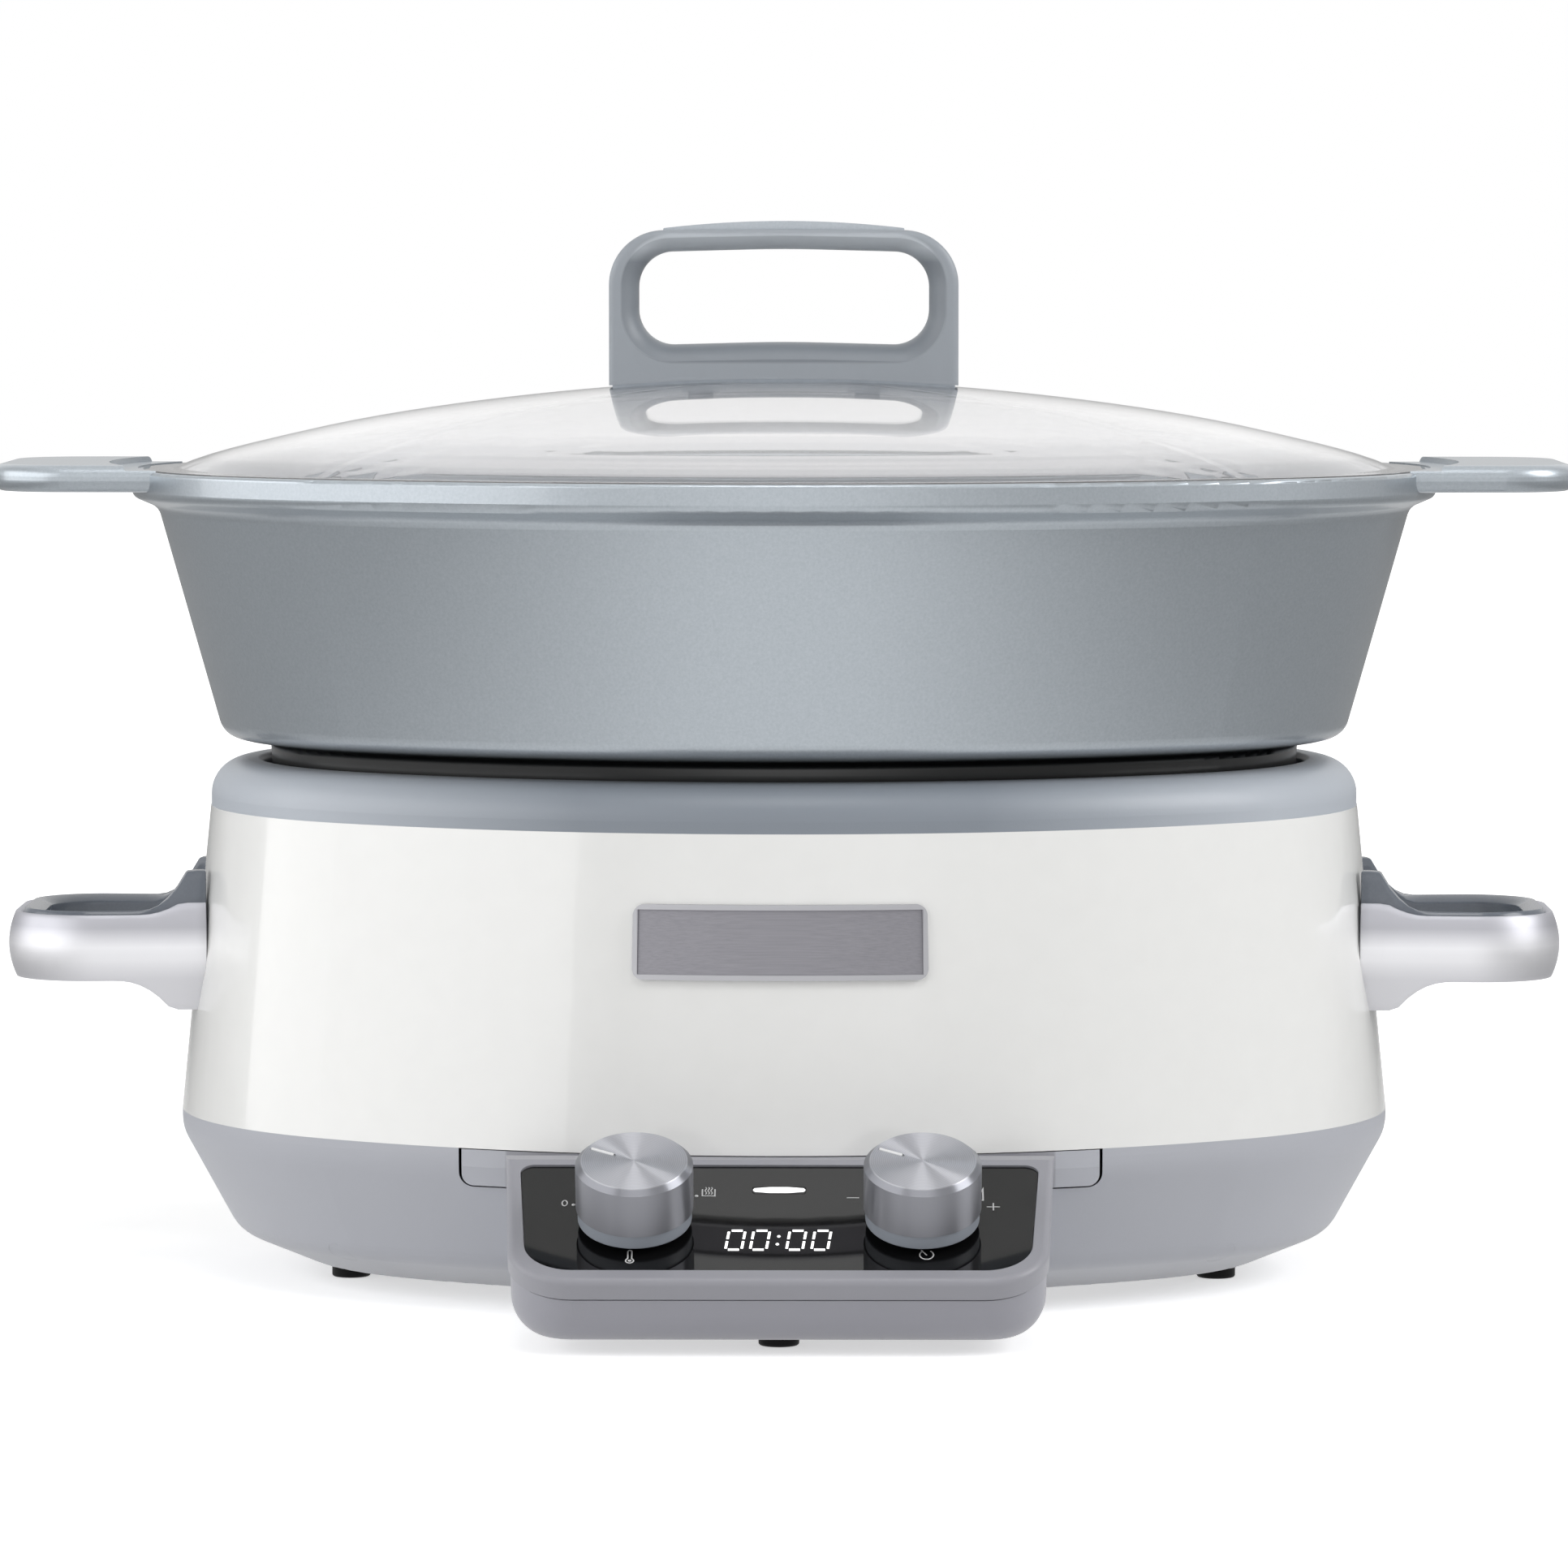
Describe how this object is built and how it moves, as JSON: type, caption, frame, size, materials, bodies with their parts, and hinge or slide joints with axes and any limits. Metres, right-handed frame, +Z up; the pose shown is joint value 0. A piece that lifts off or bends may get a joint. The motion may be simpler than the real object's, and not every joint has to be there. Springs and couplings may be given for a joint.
{
  "type": "slow cooker",
  "caption": "Oval slow cooker: lift-out cast pot with side lugs and domed glass lid on a heated base with loop handles and a tilted front console with turning knobs.",
  "frame": {"origin": "middle of the bounding box at table level", "axes": "+X to the right across the side handles, +Y to the rear away from the control console, +Z up"},
  "size_m": [0.49, 0.3616, 0.3288],
  "materials": {
    "housing_grey": "satin grey moulding",
    "bezel_grey": "satin grey moulding",
    "ring_grey": "satin grey moulding",
    "shell_white": "glossy white enamel",
    "chrome": "satin chrome",
    "badge_metal": "brushed, bare",
    "foot_rubber": "black rubber",
    "pan_steel": "black heat-proof paint",
    "plate_metal": "dark cast aluminium",
    "element_metal": "oxidised tube",
    "steel_parts": "plain steel",
    "panel_black": "glossy black",
    "lens_white": "milky white lens",
    "board_green": "circuit board",
    "component_black": "black component",
    "gland_black": "black rubber",
    "knob_metal": "turned and brushed",
    "knob_grey": "satin grey",
    "pot_metal": "metallic grey coating on cast aluminium",
    "lid_glass": "clear glass",
    "lid_handle_grey": "satin grey",
    "inlay_silver": "satin silver",
    "gasket_black": "silicone rubber"
  },
  "bodies": {
    "base": {"lower_housing": "housing_grey", "control_bezel": "bezel_grey", "top_ring": "ring_grey", "outer_shell": "shell_white", "left_handle": "chrome", "right_handle": "chrome", "badge_plate": "badge_metal", "front_foot": "foot_rubber", "left_foot": "foot_rubber", "right_foot": "foot_rubber", "rear_left_foot": "foot_rubber", "rear_right_foot": "foot_rubber", "inner_pan": "pan_steel", "heating_plate": "plate_metal", "heating_element": "element_metal", "tie_posts": "steel_parts", "housing_screws": "steel_parts", "handle_screws": "steel_parts", "plate_standoffs": "steel_parts", "board_screws": "steel_parts", "temperature_sensor": "steel_parts", "thermal_fuse": "steel_parts", "control_glass": "panel_black", "indicator_lens": "lens_white", "control_board": "board_green", "power_board": "board_green", "display_module": "component_black", "selector_switch": "component_black", "timer_encoder": "component_black", "transformer": "component_black", "power_relay": "component_black", "cord_gland": "gland_black"},
    "pot": {"cooking_pot": "pot_metal"},
    "lid": {"lid_handle_washers": "steel_parts", "lid_handle_screws": "steel_parts", "lid_glass": "lid_glass", "lid_handle": "lid_handle_grey", "lid_handle_inlay": "inlay_silver", "lid_handle_gasket": "gasket_black"},
    "selector_knob": {"selector_knob_cap": "knob_metal", "selector_knob_skirt": "knob_grey", "selector_shaft": "steel_parts"},
    "timer_knob": {"timer_knob_cap": "knob_metal", "timer_knob_skirt": "knob_grey", "timer_shaft": "steel_parts"}
  },
  "joints": [
    {"name": "pot_lift", "type": "slide", "parent": "base", "child": "pot", "axis": [0, 0, 1], "range_m": [0, 0.15]},
    {"name": "lid_lift", "type": "slide", "parent": "pot", "child": "lid", "axis": [0, 0, 1], "range_m": [0, 0.15]},
    {"name": "selector_turn", "type": "hinge", "parent": "base", "child": "selector_knob", "pos_m": [-0.042, -0.15315, 0.03629], "axis": [0, 0.4289, -0.9033], "range_deg": [0, 180]},
    {"name": "timer_turn", "type": "hinge", "parent": "base", "child": "timer_knob", "pos_m": [0.042, -0.15315, 0.03629], "axis": [0, 0.4289, -0.9033], "continuous": true}
  ]
}
